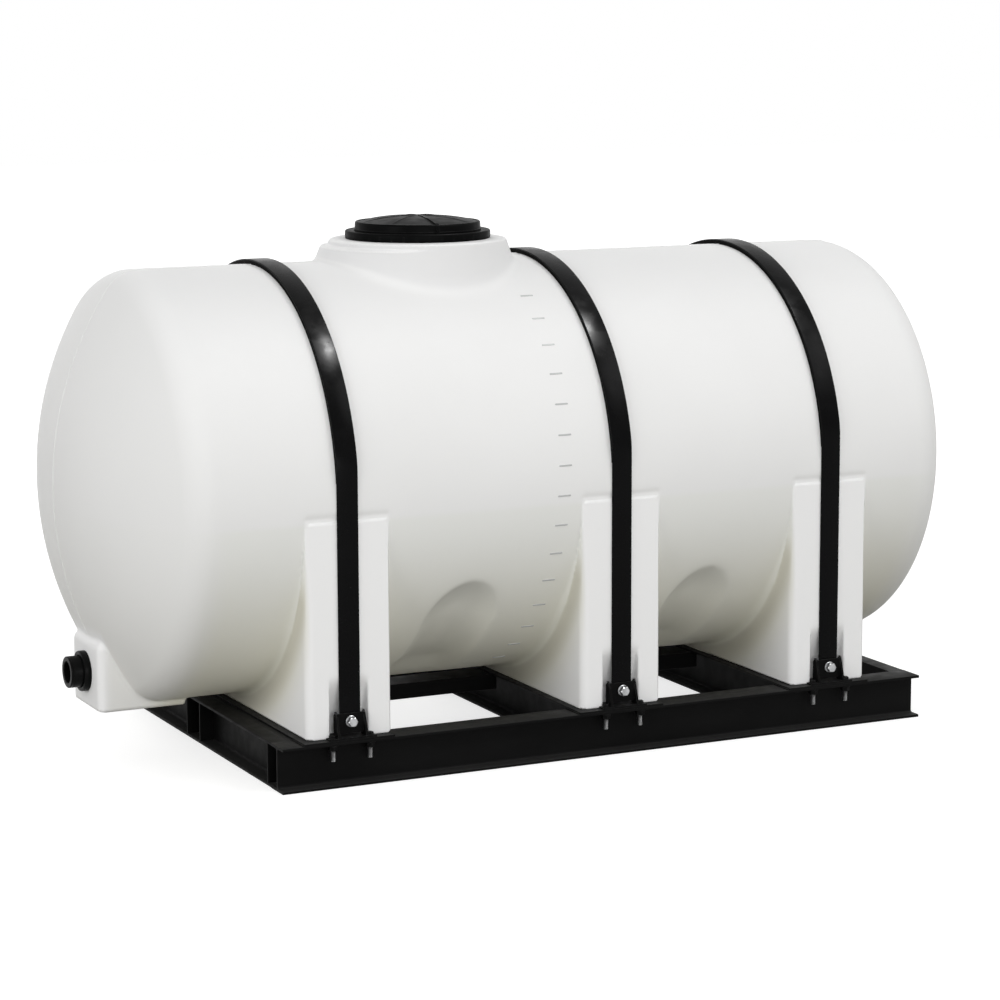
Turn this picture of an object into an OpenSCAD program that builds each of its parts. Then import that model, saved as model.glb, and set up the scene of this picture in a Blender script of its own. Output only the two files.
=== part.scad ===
// Horizontal leg tank: moulded plastic tank on saddle legs, strapped down to
// a welded steel skid. Millimetres, +Z up, z = 0 is the underside of the skid.
// +X runs along the tank, away from the drain end. -Y is the front.

/* [Tank] */
// Outside diameter of the barrel
tank_d = 1220; // [900:10:1700]
// Length of the straight barrel to the left of the middle of leg 1
barrel_past_left = 370; // [260:2:500]
// Length of the straight barrel to the right of the middle of leg 3
barrel_past_right = 314; // [260:2:500]
// Wall thickness of the barrel and ends
wall_t = 10; // [6:1:20]
// Radius of the shoulder between barrel and end
shoulder_r = 105; // [80:5:220]
// Height of the shallow dome on each end, past the shoulder
dome_h = 158; // [60:5:180]
// Gap between the belly and the top of the leg plates
belly_gap = 28; // [10:1:60]

/* [Saddle legs] */
// Width of each leg along the tank
leg_w = 248; // [180:2:300]
// Distance between the middles of legs 1 and 2
leg_gap_12 = 839; // [700:2:1100]
// Distance between the middles of legs 2 and 3
leg_gap_23 = 688; // [600:2:1100]
// How far a leg's flat face sits inside the widest part of the barrel
leg_inset = 1; // [1:1:20]
// Radius of the upright edges of the legs
leg_edge_r = 24; // [5:1:40]
// How far the pocket behind a bracket runs past its cheeks
pocket_over = 13; // [10:1:30]
// Depth of the pocket behind each bracket
pocket_d = 46; // [30:1:80]
// Height of the pocket above the leg plate
pocket_h = 175; // [120:5:240]

/* [Belly grooves] */
// Width of each groove that runs round the belly between two legs
groove_w = 216; // [120:2:260]
// Depth of each groove
groove_d = 40; // [15:1:60]
// How far a groove sits to the left of the middle between its two legs
groove_off = 38; // [0:2:60]
// Part of the circle that each groove covers, in degrees
groove_arc = 130; // [60:2:140]
// Part of the circle, at the very bottom, that a groove leaves plain, in degrees
groove_gap = 26; // [10:2:50]

/* [Manway] */
// Gap between the collar's foot and band 2
manway_gap = 42; // [4:1:120]
// Diameter of the mouth
mouth_d = 355; // [300:5:420]
// How far the collar's top runs out past the mouth
collar_over = 77; // [60:1:120]
// How far the collar widens on its way down to the crown of the barrel
collar_flare = 22; // [5:1:50]
// Height of the collar above the crown of the barrel
collar_h = 57; // [40:1:120]
// How far the clamp ring runs out past the mouth
ring_over = 34; // [20:1:50]
// Height of the clamp ring
ring_h = 24; // [15:1:40]
// How far the raised middle of the lid runs out past the mouth
lid_over = 6.5; // [3:0.5:15]
// Height of the lid's side above the ring
lid_h = 24; // [20:1:60]
// Rise of the lid's dome
lid_dome_h = 20; // [5:1:30]
// Wall thickness of the lid
lid_t = 6; // [4:1:12]

/* [Drain] */
// Width of the drain sump
sump_w = 235; // [140:5:240]
// How far the sump's face stands out from the end of the barrel
sump_reach = 180; // [150:2:260]
// Height of the sump's underside above the leg plates
sump_clear = 18; // [5:1:40]
// Height of the sump's end face
sump_face_h = 200; // [200:5:260]
// Height of the outlet above the sump's underside
outlet_rise = 102; // [75:1:130]
// Outside diameter of the outlet flange
outlet_flange_d = 115; // [105:1:150]
// Thickness of the outlet flange
outlet_flange_t = 20; // [10:1:30]
// Outside diameter of the outlet nozzle
nozzle_d = 90; // [60:1:100]
// Bore of the outlet nozzle
nozzle_bore_d = 62; // [30:1:80]
// How far the nozzle stands out past its flange
nozzle_l = 35; // [20:1:70]
// Outside diameter of the nozzle's tail, inside the flange and the sump
nozzle_tail_d = 84; // [56:1:98]
// How deep the nozzle is set into the sump
nozzle_set = 40; // [20:1:60]

/* [Hold-down bands] */
// Band width
band_w = 62; // [40:1:80]
// Band thickness
band_t = 4; // [2:0.5:8]
// Thickness of the rubber pad under each band, over the top of the barrel
pad_t = 10; // [4:1:16]
// Angle above the widest part of the barrel where the pads end, in degrees
pad_end = 6; // [4:1:9]
// Height of the band's ends above the leg plates
band_end_h = 24; // [15:1:28]

/* [Brackets] */
// How far a bracket's foot runs past the middle of its studs
foot_over = 15; // [12:1:30]
// Foot thickness
foot_t = 5; // [4:0.5:10]
// Gap between the band and each cheek
cheek_gap = 7; // [1:0.5:12]
// Plate thickness of the cheeks and the clamp plate
cheek_t = 6; // [4:0.5:8]
// Height of the cheeks above the foot
cheek_h = 69; // [65:1:100]
// How far the cheeks slope back from their foot to their top
cheek_slope = 11; // [5:1:14]
// Gap under the clamp plate
clamp_gap = 14; // [8:1:30]
// Tension bolt: shank diameter
bolt_d = 20; // [12:1:24]
// Tension bolt: hexagon across the flats
bolt_af = 30; // [20:1:38]
// Height of the tension bolt above the foot
bolt_z = 42; // [35:1:60]
// Stud diameter
stud_d = 16; // [10:1:20]
// Distance from the outside of a cheek to the middle of its stud
stud_out = 11; // [11:1:30]
// How far a stud hangs below the underside of the flange
stud_drop = 46; // [30:1:70]

/* [Skid] */
// Length of the skid to the left of the middle of leg 1
skid_past_left = 208; // [200:1:500]
// Length of the skid to the right of the middle of leg 3
skid_past_right = 305; // [200:1:600]
// How far the skid stands out past the tank on each side
skid_over = 27; // [22:1:120]
// Depth of the beams and channels
skid_h = 127; // [100:1:200]
// Flange width of the long beams
beam_flange_w = 88; // [60:1:120]
// Flange width of the end and cross channels
channel_flange_w = 50; // [35:1:60]
// Flange thickness
flange_t = 8; // [5:0.5:14]
// Web thickness
web_t = 6; // [4:0.5:12]
// Leg plate thickness
plate_t = 6; // [3:0.5:12]
// How far a leg plate runs past its leg on the left
plate_over = 20; // [0:1:40]
// Outside width of the centre stringer
stringer_w = 102; // [80:1:140]
// Depth of the centre stringer
stringer_h = 46; // [40:1:100]

// Outside width across the pair of upright plates in the middle of an end channel
stiffener_w = 112; // [80:2:160]
// How far that pair stands behind the middle of the skid
stiffener_off = 66; // [0:2:90]
// Distance from a long beam's flange to the upright plate beside it
stiffener_in = 26; // [0:2:60]

/* [Level marks] */
// Number of level marks up the side
mark_n = 15; // [5:2:21]
// Angle between two marks, in degrees
mark_step = 8.5; // [4:0.1:12]
// Angle of the middle mark below the widest part of the barrel, in degrees
mark_drop = 1.7; // [0:0.1:8]
// How much the marks draw together towards the middle, in degrees
mark_bow = 1.3; // [0:0.1:2]
// How far each mark stands to the right of the one below it
mark_lean = 5.5; // [0:0.5:8]
// How far the row of marks curves to the left at its ends
mark_curve = 15; // [0:1:30]
// Length of a mark along the tank
mark_l = 40; // [20:1:80]
// Width of a mark round the tank
mark_w = 5; // [3:0.5:10]
// Height of a mark above the wall
mark_h = 1.5; // [1:0.5:3]
// Gap between the marks and leg 2
mark_gap = 36; // [10:1:60]

/* [Hidden] */
$fn = 240;
e = 1;                                  // overrun of a cutting tool
tank_r = tank_d / 2;
end_l = shoulder_r + dome_h;            // length of one domed end
plate_top = skid_h + plate_t;
axis_z = plate_top + belly_gap + tank_r;
skid_l = skid_past_left + leg_gap_12 + leg_gap_23 + skid_past_right;
skid_w = tank_d + 2 * skid_over;
leg_1_x = skid_past_left - skid_l / 2;
leg_2_x = leg_1_x + leg_gap_12;
leg_3_x = leg_2_x + leg_gap_23;
barrel_x0 = leg_1_x - barrel_past_left;
barrel_x1 = leg_3_x + barrel_past_right;
barrel_l = barrel_x1 - barrel_x0;
// the overall length is the tank's: its middle is put at x = 0
shift = -(barrel_x0 + barrel_x1) / 2;
leg_xs = [leg_1_x, leg_2_x, leg_3_x];
leg_half = tank_r - leg_inset;
leg_tip = 0.3;                          // thickness of a leg at its top
leg_top = axis_z - sqrt(tank_r * tank_r - pow(leg_half - leg_tip, 2));
// a domed end: a shoulder circle inside a larger crown circle
crown_q = tank_r - shoulder_r;
crown_d = (crown_q * crown_q - dome_h * dome_h) / (2 * dome_h);
crown_r = end_l + crown_d;
crown_k = (crown_r + e) / (crown_r - shoulder_r);
// a belly groove: radius and width of its floor, and the angle that one wall takes
groove_r0 = tank_r - groove_d;
groove_w0 = groove_w - 2 * groove_d;
wall_arc = asin(wall_t / groove_r0);
groove_xs = [(leg_1_x + leg_2_x) / 2 - groove_off, (leg_2_x + leg_3_x) / 2 - groove_off];
collar_d = mouth_d + 2 * collar_over;
collar_base_d = collar_d + 2 * collar_flare;
manway_x = leg_2_x - band_w / 2 - manway_gap - collar_base_d / 2;
collar_top = axis_z + tank_r + collar_h;
ring_d = mouth_d + 2 * ring_over;
lid_d = mouth_d + 2 * lid_over;
ring_top = collar_top + ring_h;
lid_r = lid_d / 2;
lid_sphere_r = (lid_r * lid_r + lid_dome_h * lid_dome_h) / (2 * lid_dome_h);
sump_x = barrel_x0 - sump_reach;
sump_z = plate_top + sump_clear;
outlet_z = sump_z + outlet_rise;
skid_x = skid_l / 2;
skid_y = skid_w / 2;
inner_y = skid_y - beam_flange_w;       // inner tips of the long beams' flanges
band_r = tank_r + band_t;
foot_top = plate_top + foot_t;
cheek_over = band_w + 2 * (cheek_gap + cheek_t);
stud_pitch = cheek_over + 2 * stud_out;
foot_l = stud_pitch + 2 * foot_over;
pocket_w = cheek_over + 2 * pocket_over;
clamp_y = band_r;                       // back face of the clamp plate
cheek_back = leg_half - pocket_d + 6;   // back edge of the cheeks
bolt_at = foot_top + bolt_z;
stud_y = skid_y - 15;
leg_x0 = [for (x = leg_xs) x - leg_w / 2];
cross_x = [leg_x0[1], leg_x0[2]];
marks_x = leg_x0[1] - mark_gap - mark_l;

plastic = [0.93, 0.93, 0.91];
steel_black = [0.17, 0.17, 0.175];
cap_black = [0.13, 0.13, 0.135];
zinc = [0.78, 0.79, 0.80];

// a cylinder along +X, its start at x0
module x_cyl(r, x0, l) translate([x0, 0, axis_z]) rotate([0, 90, 0]) cylinder(r = r, h = l);

// a box given by its two corners
module span(a, b) translate(a) cube([b[0] - a[0], b[1] - a[1], b[2] - a[2]]);

// half section of a domed end, drawn as radius by length, shrunk by an inset
module end_section(inset) {
    intersection() {
        square([tank_r, end_l]);
        union() {
            intersection() {
                translate([0, -crown_d]) circle(r = crown_r - inset);
                polygon([[0, -crown_d], [crown_q * crown_k, crown_d * (crown_k - 1)], [0, crown_r]]);
            }
            translate([crown_q, 0]) circle(r = shoulder_r - inset);
        }
    }
}

// a solid domed end with its flat side at x, pointing along way
module end_solid(x, way, inset)
    translate([x, 0, axis_z]) rotate([0, way * 90, 0]) rotate_extrude() end_section(inset);

module domed_end(x, way) difference() {
    end_solid(x, way, 0);
    end_solid(x, way, wall_t);
}

// outside of the whole tank as one solid, used to cut what seats on it
module tank_body() {
    x_cyl(tank_r, barrel_x0, barrel_l);
    end_solid(barrel_x0, -1, 0);
    end_solid(barrel_x1, 1, 0);
}

// part of a ring round the belly with sloped sides, from radius r0 out to r1,
// and from angle a0 to angle a1 up each side
module belly_ring(x, r0, w0, r1, w1, a0, a1)
    for (a = [a0, -a1])
        translate([x, 0, axis_z]) rotate([0, 90, 0]) rotate([0, 0, a])
            rotate_extrude(angle = a1 - a0)
                polygon([[r0, -w0 / 2], [r1, -w1 / 2], [r1, w1 / 2], [r0, w0 / 2]]);

module mouth_cut(z0, z1) translate([manway_x, 0, z0]) cylinder(d = mouth_d, h = z1 - z0);

module tank_barrel() {
    color(plastic) translate([shift, 0, 0]) difference() {
        union() {
            difference() {
                x_cyl(tank_r, barrel_x0, barrel_l);
                x_cyl(tank_r - wall_t, barrel_x0 - e, barrel_l + 2 * e);
            }
            for (x = groove_xs)
                belly_ring(x, groove_r0 - wall_t, groove_w0 + 2 * wall_t, tank_r - wall_t / 2,
                           groove_w + 2 * wall_t, groove_gap / 2 - wall_arc, groove_arc / 2 + wall_arc);
        }
        for (x = groove_xs)
            belly_ring(x, groove_r0, groove_w0, tank_r + e, groove_w + 2 * e, groove_gap / 2, groove_arc / 2);
        mouth_cut(axis_z, collar_top + e);
    }
}

module head_left() color(plastic) translate([shift, 0, 0]) domed_end(barrel_x0, -1);
module head_right() color(plastic) translate([shift, 0, 0]) domed_end(barrel_x1, 1);

// one saddle leg: a block as wide as the tank, hollowed to seat the barrel
module saddle_leg(i) {
    x = leg_xs[i];
    w = leg_w / 2 - leg_edge_r;
    y = leg_half - leg_edge_r;
    color(plastic) translate([shift, 0, 0]) difference() {
        translate([x, 0, plate_top]) linear_extrude(leg_top - plate_top) union() {
            square([2 * w, 2 * leg_half], center = true);
            square([leg_w, 2 * y], center = true);
            for (a = [-w, w], b = [-y, y]) translate([a, b]) circle(r = leg_edge_r);
        }
        x_cyl(tank_r, x - leg_w, 2 * leg_w);
        for (s = [-1, 1])
            translate([x - pocket_w / 2, s * leg_half - pocket_d, plate_top - e])
                cube([pocket_w, 2 * pocket_d, pocket_h + e]);
    }
}
module saddle_leg_1() saddle_leg(0);
module saddle_leg_2() saddle_leg(1);
module saddle_leg_3() saddle_leg(2);

module drain_sump() {
    color(plastic) translate([shift, 0, 0]) difference() {
        span([sump_x, -sump_w / 2, sump_z], [barrel_x0 + 90, sump_w / 2, sump_z + sump_face_h]);
        tank_body();
        translate([sump_x - e, 0, outlet_z]) rotate([0, 90, 0])
            cylinder(d = nozzle_tail_d, h = nozzle_set + e);
    }
}

module outlet_flange() {
    color(cap_black) translate([shift + sump_x - outlet_flange_t, 0, outlet_z]) rotate([0, 90, 0])
        difference() {
            cylinder(d = outlet_flange_d, h = outlet_flange_t);
            translate([0, 0, -e]) cylinder(d = nozzle_tail_d, h = outlet_flange_t + 2 * e);
        }
}

module outlet_nozzle() {
    l = nozzle_l + outlet_flange_t + nozzle_set;
    color(cap_black) translate([shift + sump_x - outlet_flange_t - nozzle_l, 0, outlet_z])
        rotate([0, 90, 0]) difference() {
            union() {
                cylinder(d = nozzle_d, h = nozzle_l);
                cylinder(d = nozzle_tail_d, h = l);
            }
            translate([0, 0, -e]) cylinder(d = nozzle_bore_d, h = l + 2 * e);
        }
}

module manway_collar() {
    skirt = 120;                        // how far the collar's cone reaches down the barrel
    color(plastic) translate([shift, 0, 0]) difference() {
        translate([manway_x, 0, collar_top - collar_h]) rotate_extrude()
            polygon([[0, -skirt], [collar_base_d / 2, -skirt], [collar_base_d / 2, 0],
                     [collar_d / 2, collar_h], [0, collar_h]]);
        tank_body();
        mouth_cut(axis_z, collar_top + e);
    }
}

module manway_ring() {
    color(cap_black) translate([shift + manway_x, 0, collar_top]) difference() {
        cylinder(d = ring_d, h = ring_h);
        translate([0, 0, -e]) cylinder(d = mouth_d, h = ring_h + 2 * e);
    }
}

module manway_lid() {
    color(cap_black) translate([shift + manway_x, 0, ring_top]) difference() {
        rotate_extrude() union() {
            square([lid_r, lid_h]);
            intersection() {
                translate([0, lid_h + lid_dome_h - lid_sphere_r]) circle(r = lid_sphere_r);
                square([lid_r, lid_h + lid_dome_h]);
            }
        }
        translate([0, 0, -e]) cylinder(d = mouth_d - 2 * lid_t, h = lid_h - lid_t + e);
    }
}

module level_marks() {
    color([0.55, 0.56, 0.57]) translate([shift, 0, 0])
        for (i = [0:mark_n - 1])
            let (k = i - (mark_n - 1) / 2, t = k / ((mark_n - 1) / 2))
                translate([marks_x + k * mark_lean - t * t * mark_curve, 0, axis_z])
                rotate([mark_drop + mark_bow * sin(180 * t) - k * mark_step, 0, 0])
                difference() {
                    span([0, -tank_r - mark_h, -mark_w / 2], [mark_l, -tank_r + 3, mark_w / 2]);
                    rotate([0, 90, 0]) translate([0, 0, -e]) cylinder(r = tank_r, h = mark_l + 2 * e);
                }
}

// upper half of the shape that a band of outside radius r and half width y follows
module band_form(x, l, r, y)
    intersection() {
        x_cyl(r, x, l);
        span([x - e, -y, axis_z - e], [x + l + e, y, axis_z + r + e]);
    }

// one hold-down band: over its pad on the barrel and straight down both sides
module band(i) {
    x = leg_xs[i] - band_w / 2;
    z = plate_top + band_end_h;
    color(steel_black) translate([shift, 0, 0]) {
        difference() {
            union() {
                difference() {
                    band_form(x, band_w, band_r + pad_t, band_r);
                    band_form(x - e, band_w + 2 * e, tank_r + pad_t, tank_r);
                    span([x - e, -band_r - e, axis_z - 2 * e], [x + band_w + e, band_r + e, axis_z]);
                }
                span([x, -band_r, z], [x + band_w, -tank_r, axis_z]);
                span([x, tank_r, z], [x + band_w, band_r, axis_z]);
            }
            for (s = [-1, 1])
                translate([leg_xs[i], s * band_r, bolt_at]) rotate([90, 0, 0])
                    translate([0, 0, -10]) cylinder(d = bolt_d, h = 20);
        }
    }
}
module band_1() band(0);
module band_2() band(1);
module band_3() band(2);

// rubber pads between the bands and the top half of the barrel
module band_pads()
    color(cap_black) translate([shift, 0, 0])
        for (leg = leg_xs) {
            x = leg - band_w / 2;
            difference() {
                band_form(x, band_w, tank_r + pad_t, tank_r);
                x_cyl(tank_r, x - 1, band_w + 2);
                span([x - 1, -band_r, axis_z - 1], [x + band_w + 1, band_r, axis_z + tank_r * sin(pad_end)]);
            }
        }

// one bracket: foot, two cheeks and the clamp plate between them
module bracket(i, side) {
    c = cheek_over / 2;
    y0 = cheek_back;
    y1 = clamp_y + cheek_t;
    y2 = skid_y;
    color(steel_black) translate([shift + leg_xs[i], 0, 0]) rotate([0, 0, side > 0 ? 0 : 180])
        difference() {
            union() {
                span([-foot_l / 2, leg_half + 1, plate_top], [foot_l / 2, skid_y, foot_top]);
                span([-pocket_w / 2 + 3, y0 - 4, plate_top], [pocket_w / 2 - 3, skid_y, foot_top]);
                for (x = [-c, c - cheek_t]) translate([x, 0, foot_top]) rotate([90, 0, 90])
                    linear_extrude(cheek_t)
                        polygon([[y0, 0], [y2, 0], [y2, 6], [y2 - cheek_slope, cheek_h - 8],
                                 [y2 - cheek_slope - 8, cheek_h], [y0, cheek_h]]);
                span([-c, clamp_y, foot_top + clamp_gap], [c, y1, foot_top + cheek_h - 8]);
            }
            translate([0, clamp_y - e, bolt_at]) rotate([-90, 0, 0]) cylinder(d = bolt_d, h = cheek_t + 2 * e);
            for (x = [-1, 1]) translate([x * stud_pitch / 2, stud_y, plate_top - e])
                cylinder(d = stud_d, h = foot_t + 2 * e);
        }
}
module bracket_front_1() bracket(0, -1);
module bracket_front_2() bracket(1, -1);
module bracket_front_3() bracket(2, -1);
module bracket_back_1() bracket(0, 1);
module bracket_back_2() bracket(1, 1);
module bracket_back_3() bracket(2, 1);

// the bolt that draws each band end down, with a washer and a nut
module tension_bolts() {
    head = 15;
    washer = 4;
    y1 = clamp_y + cheek_t;
    color(zinc) translate([shift, 0, 0])
        for (x = leg_xs, s = [-1, 1]) translate([x, 0, bolt_at]) rotate([0, 0, s > 0 ? 0 : 180])
            rotate([-90, 0, 0]) union() {
                translate([0, 0, y1]) cylinder(d = bolt_af + 7, h = washer);
                translate([0, 0, y1 + washer]) rotate([0, 0, 30]) cylinder(d = bolt_af / cos(30), h = head, $fn = 6);
                translate([0, 0, tank_r - 32]) cylinder(d = bolt_d, h = y1 + washer - tank_r + 33);
                translate([0, 0, tank_r - 16]) cylinder(d = bolt_af / cos(30), h = 16, $fn = 6);
            }
}

// two studs through each bracket's foot, the leg plate and the beam's flange
module plate_studs() {
    nut = 12;
    under = skid_h - flange_t;
    color(zinc) translate([shift, 0, 0])
        for (x = leg_xs, k = [-1, 1], s = [-1, 1])
            translate([x + k * stud_pitch / 2, s * stud_y, 0]) union() {
                translate([0, 0, under - stud_drop]) cylinder(d = stud_d, h = foot_top + 3 - under + stud_drop);
                translate([0, 0, foot_top]) cylinder(d = stud_d + 5, h = 4);
                translate([0, 0, under - 3]) cylinder(d = stud_d + 14, h = 3);
                translate([0, 0, under - 3 - nut]) cylinder(d = 24 / cos(30), h = nut, $fn = 6);
            }
}

// holes for the studs of one bracket pair, through a plate or flange
module stud_holes(xs, z0, z1)
    for (x = xs, k = [-1, 1], s = [-1, 1])
        translate([x + k * stud_pitch / 2, s * stud_y, z0]) cylinder(d = stud_d, h = z1 - z0);

module leg_plate(i) {
    x = leg_xs[i];
    color(steel_black) translate([shift, 0, 0]) difference() {
        span([x - leg_w / 2 - plate_over, -skid_y, skid_h], [x + leg_w / 2, skid_y, plate_top]);
        stud_holes([x], skid_h - e, plate_top + e);
    }
}
module leg_plate_1() leg_plate(0);
module leg_plate_2() leg_plate(1);
module leg_plate_3() leg_plate(2);

// a long beam with an I section
module long_beam(side) {
    y = side * (skid_y - beam_flange_w / 2);
    f = beam_flange_w / 2;
    color(steel_black) translate([shift, 0, 0]) difference() {
        union() {
            span([-skid_x, y - f, 0], [skid_x, y + f, flange_t]);
            span([-skid_x, y - f, skid_h - flange_t], [skid_x, y + f, skid_h]);
            span([-skid_x, y - web_t / 2, flange_t - e], [skid_x, y + web_t / 2, skid_h - flange_t + e]);
        }
        stud_holes(leg_xs, skid_h - flange_t - e, skid_h + e);
    }
}
module beam_front() long_beam(-1);
module beam_back() long_beam(1);

// a channel across the skid: its back at x, its flanges pointing along way
module cross_channel(x, way) {
    a = x;
    b = x + way * channel_flange_w;
    w = x + way * web_t;
    color(steel_black) translate([shift, 0, 0]) {
        span([min(a, b), -inner_y, 0], [max(a, b), inner_y, flange_t]);
        span([min(a, b), -inner_y, skid_h - flange_t], [max(a, b), inner_y, skid_h]);
        span([min(a, w), -inner_y, flange_t - e], [max(a, w), inner_y, skid_h - flange_t + e]);
    }
}
module end_channel_left() cross_channel(channel_flange_w - skid_x, -1);
module end_channel_right() cross_channel(skid_x - channel_flange_w, 1);
module cross_channel_1() cross_channel(2 * channel_flange_w - skid_x, -1);
module cross_channel_2() cross_channel(cross_x[0] + channel_flange_w, -1);
module cross_channel_3() cross_channel(cross_x[1] + channel_flange_w, -1);

// the shallow stringer under the belly, in three lengths between the channels
module centre_stringer() {
    ends = [2 * channel_flange_w - skid_x, cross_x[0] + channel_flange_w,
            cross_x[1] + channel_flange_w, skid_x - channel_flange_w];
    w = stringer_w / 2;
    color(steel_black) translate([shift, 0, 0])
        for (i = [0:2]) {
            x0 = ends[i];
            x1 = i < 2 ? ends[i + 1] - web_t : ends[i + 1];
            difference() {
                span([x0, -w, skid_h - stringer_h], [x1, w, skid_h]);
                span([x0 - e, -w + web_t, skid_h - stringer_h - e], [x1 + e, w - web_t, skid_h - flange_t]);
                // room for the flanges of the cross channel at the right end
                if (i < 2)
                    span([ends[i + 1] - channel_flange_w, -w - e, skid_h - flange_t], [x1 + e, w + e, skid_h + e]);
            }
        }
}

// upright plates inside the two end channels
module channel_stiffeners() {
    x = skid_x - channel_flange_w + web_t;
    pair = (stiffener_w - web_t) / 2;
    side = inner_y - stiffener_in - web_t / 2;
    ys = [-side, stiffener_off - pair, stiffener_off + pair, side];
    color(steel_black) translate([shift, 0, 0])
        for (y = ys)
            span([-skid_x + 1, y - web_t / 2, flange_t], [-x, y + web_t / 2, skid_h - flange_t]);
}

tank_barrel();
head_left();
head_right();
saddle_leg_1();
saddle_leg_2();
saddle_leg_3();
drain_sump();
outlet_flange();
outlet_nozzle();
manway_collar();
manway_ring();
manway_lid();
level_marks();
band_1();
band_2();
band_3();
band_pads();
bracket_front_1();
bracket_front_2();
bracket_front_3();
bracket_back_1();
bracket_back_2();
bracket_back_3();
tension_bolts();
plate_studs();
leg_plate_1();
leg_plate_2();
leg_plate_3();
beam_front();
beam_back();
end_channel_left();
end_channel_right();
cross_channel_1();
cross_channel_2();
cross_channel_3();
centre_stringer();
channel_stiffeners();
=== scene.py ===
"""Horizontal leg tank on a steel skid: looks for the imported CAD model.

Sizes are in millimetres in the CAD model's frame (z = 0 is the underside of the
skid, -Y is the front) and become metres when a mesh is made.
"""
import math

import bmesh
import bpy
import numpy as np
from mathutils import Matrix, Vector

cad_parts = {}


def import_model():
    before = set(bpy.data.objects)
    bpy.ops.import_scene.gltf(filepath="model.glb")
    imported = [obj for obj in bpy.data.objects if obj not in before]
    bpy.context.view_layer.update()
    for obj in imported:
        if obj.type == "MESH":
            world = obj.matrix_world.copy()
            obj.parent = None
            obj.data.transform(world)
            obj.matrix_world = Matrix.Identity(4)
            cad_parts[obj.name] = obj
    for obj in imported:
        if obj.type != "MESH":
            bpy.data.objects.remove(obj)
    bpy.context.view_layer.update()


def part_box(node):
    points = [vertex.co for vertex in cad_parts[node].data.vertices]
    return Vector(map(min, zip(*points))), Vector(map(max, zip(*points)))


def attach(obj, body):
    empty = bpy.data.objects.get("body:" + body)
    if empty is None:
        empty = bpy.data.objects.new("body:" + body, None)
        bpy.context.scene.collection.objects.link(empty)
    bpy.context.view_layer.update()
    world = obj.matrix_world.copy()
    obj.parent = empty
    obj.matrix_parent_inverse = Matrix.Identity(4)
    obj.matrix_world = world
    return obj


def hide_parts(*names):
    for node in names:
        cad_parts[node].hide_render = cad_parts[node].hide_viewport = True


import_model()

import openvdb as vdb
from mathutils import Matrix, Vector

MM = 0.001
FRONT_AND_BACK = (-1, 1)


def span(node):
    """Lowest and highest corner of a CAD node, in mm."""
    lo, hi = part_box(node)
    return np.array(lo) / MM, np.array(hi) / MM


# ---------------------------------------------------------------- sizes
BARREL_LO, BARREL_HI = span("tank_barrel")
AXIS_Z = (BARREL_LO[2] + BARREL_HI[2]) / 2
TANK_R = (BARREL_HI[1] - BARREL_LO[1]) / 2
BARREL_X = BARREL_HI[0]                      # the barrel is centred on x = 0
SHOULDER_R = 105.0
SEAM_H = 1.5                                 # parting line, proud of the skin
HEAD_L = span("head_right")[1][0] - BARREL_X - SEAM_H
LEGS = [span(f"saddle_leg_{i}") for i in (1, 2, 3)]
LEG_X = [(lo[0] + hi[0]) / 2 for lo, hi in LEGS]
LEG_HW = (LEGS[0][1][0] - LEGS[0][0][0]) / 2
LEG_FOOT, LEG_TOP = LEGS[0][0][2], LEGS[0][1][2]
LEG_Y = LEGS[0][1][1] + 0.6                  # covers the CAD's flat face
LEG_EDGE_R, LEG_CRISP_R = 24.0, 6.0          # left edges low down, and all the others
LEG_DIP = 2.2                                # shallow groove along the barrel above each leg
POCKET_HW, POCKET_D, POCKET_TOP, POCKET_FADE = 56.0, 46.0, 298.0, 112.0
GROOVE_D, GROOVE_WALL, GROOVE_ROUND = 40.0, 88.0, 150.0
GROOVE_LEAN = 0.10                           # a groove's top stands to the right of its foot
GROOVE_MID_Z = 380.0                         # height where a groove stands on its own x
GROOVE_FADE = (math.radians(9), math.radians(27))     # from the bottom of the barrel
GROOVES = [((LEG_X[0] + LEG_X[1]) / 2 - 32, 112.0, 65.8),      # x, half width, top in degrees
           ((LEG_X[1] + LEG_X[2]) / 2 - 30, 101.0, 63.4)]
SUMP_LO, SUMP_HI = span("drain_sump")
SUMP_EDGE_R = 22.0
SUMP_END = -BARREL_X + 76                    # its hidden end, under the barrel
RING_LO, RING_HI = span("manway_ring")
LID_LO, LID_HI = span("manway_lid")
MAN_X = (RING_LO[0] + RING_HI[0]) / 2
COLLAR_TOP = RING_LO[2]
COLLAR_R, COLLAR_LEAN, COLLAR_FLARE, COLLAR_SHIFT = 257.0, 0.25, 0.12, 0.04
STEP_R, STEP_OUT, STEP_DROP = 253.0, 24.0, 18.0       # the collar's low step at the left

# end crown: a large circle that the shoulder circle touches from inside
CROWN_Q = TANK_R - SHOULDER_R
CROWN_K = HEAD_L - SHOULDER_R
CROWN_A = (CROWN_Q ** 2 - CROWN_K ** 2) / (2 * CROWN_K)
CROWN_R = HEAD_L + CROWN_A


# ---------------------------------------------------------------- tank skin
# A field is the distance in mm to a surface, less than 0 inside it.
def smin(a, b, k):
    """The lower of two fields, with a fillet about k wide where they meet."""
    h = np.maximum(k - np.abs(a - b), 0)
    return np.minimum(a, b) - h * h / (4 * k)


def smax(a, b, k):
    return -smin(-a, -b, k)


def ramp(v, a, b):
    """0 at a, 1 at b, smooth between them."""
    t = np.clip((v - a) / (b - a), 0, 1)
    return t * t * (3 - 2 * t)


def corner(u, v, r):
    """Field of a square corner between two walls, rounded off with radius r."""
    u, v = u + r, v + r
    return np.hypot(np.maximum(u, 0), np.maximum(v, 0)) + np.minimum(np.maximum(u, v), 0) - r


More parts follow.
